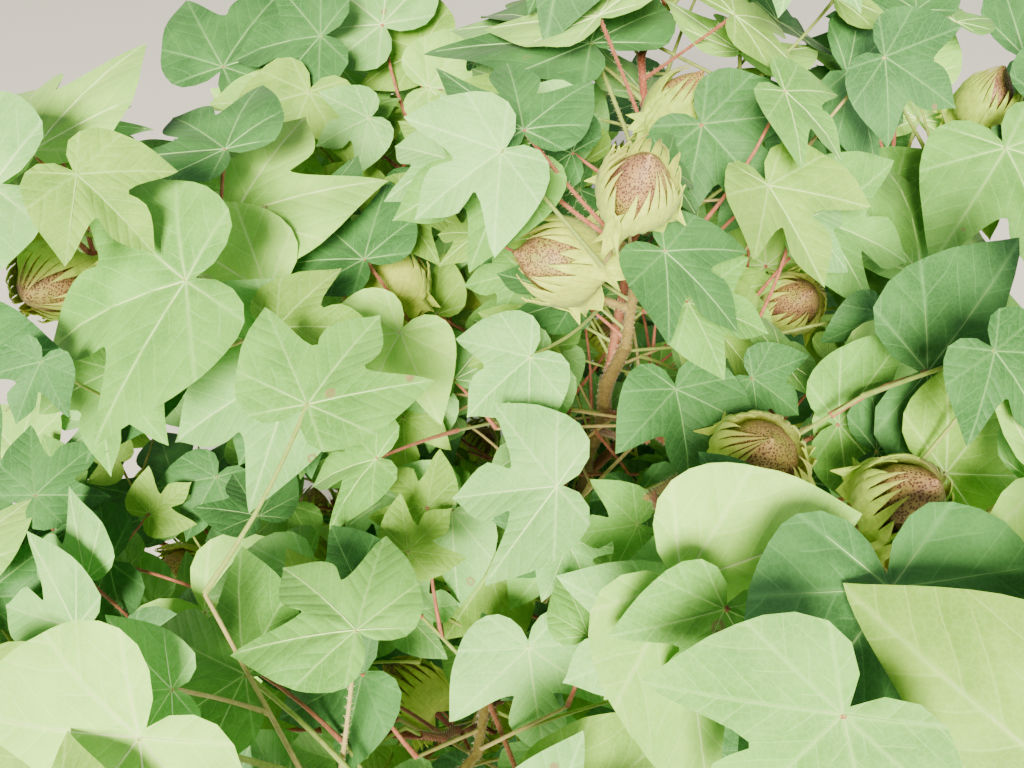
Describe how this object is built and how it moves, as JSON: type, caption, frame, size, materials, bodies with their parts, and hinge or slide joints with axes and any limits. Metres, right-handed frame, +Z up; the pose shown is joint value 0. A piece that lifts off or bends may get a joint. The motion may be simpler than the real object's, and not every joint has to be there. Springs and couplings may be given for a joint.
{
  "type": "upland cotton plant",
  "caption": "Bushy upland cotton plant with lobed leaves and closed bolls in toothed bracts, rooted in level ground.",
  "frame": {"origin": "centre of the flat foot of the main stem, at ground level", "axes": "+Z up; -Y to the front, the sunny side that the blades turn to; +X to the right seen from the front"},
  "size_m": [1.0952, 1.045, 0.9575],
  "materials": {
    "bark": "matte, hairy, brown green",
    "red_bark": "matte, hairy, red brown",
    "foliage": "matte leaves with pale veins"
  },
  "bodies": {
    "root": {"main_stem": "bark", "vegetative_bough_1": "red_bark", "vegetative_bough_2": "red_bark", "vegetative_bough_3": "red_bark", "vegetative_bough_4": "red_bark", "fruiting_bough_1": "red_bark", "fruiting_bough_2": "red_bark", "fruiting_bough_3": "red_bark", "fruiting_bough_4": "red_bark", "fruiting_bough_5": "red_bark", "fruiting_bough_6": "red_bark", "fruiting_bough_7": "red_bark", "fruiting_bough_8": "red_bark", "fruiting_bough_9": "red_bark", "fruiting_bough_10": "red_bark", "fruiting_bough_11": "red_bark", "fruiting_bough_12": "red_bark", "vegetative_foliage_1": "foliage", "vegetative_foliage_2": "foliage", "vegetative_foliage_3": "foliage", "vegetative_foliage_4": "foliage", "fruiting_foliage_1": "foliage", "fruiting_foliage_2": "foliage", "fruiting_foliage_3": "foliage", "fruiting_foliage_4": "foliage", "fruiting_foliage_5": "foliage", "fruiting_foliage_6": "foliage", "fruiting_foliage_7": "foliage", "fruiting_foliage_8": "foliage", "fruiting_foliage_9": "foliage", "fruiting_foliage_10": "foliage", "fruiting_foliage_11": "foliage", "fruiting_foliage_12": "foliage", "inner_foliage_1": "foliage", "inner_foliage_2": "foliage", "inner_foliage_3": "foliage", "inner_foliage_4": "foliage", "top_foliage": "foliage"}
  },
  "joints": []
}
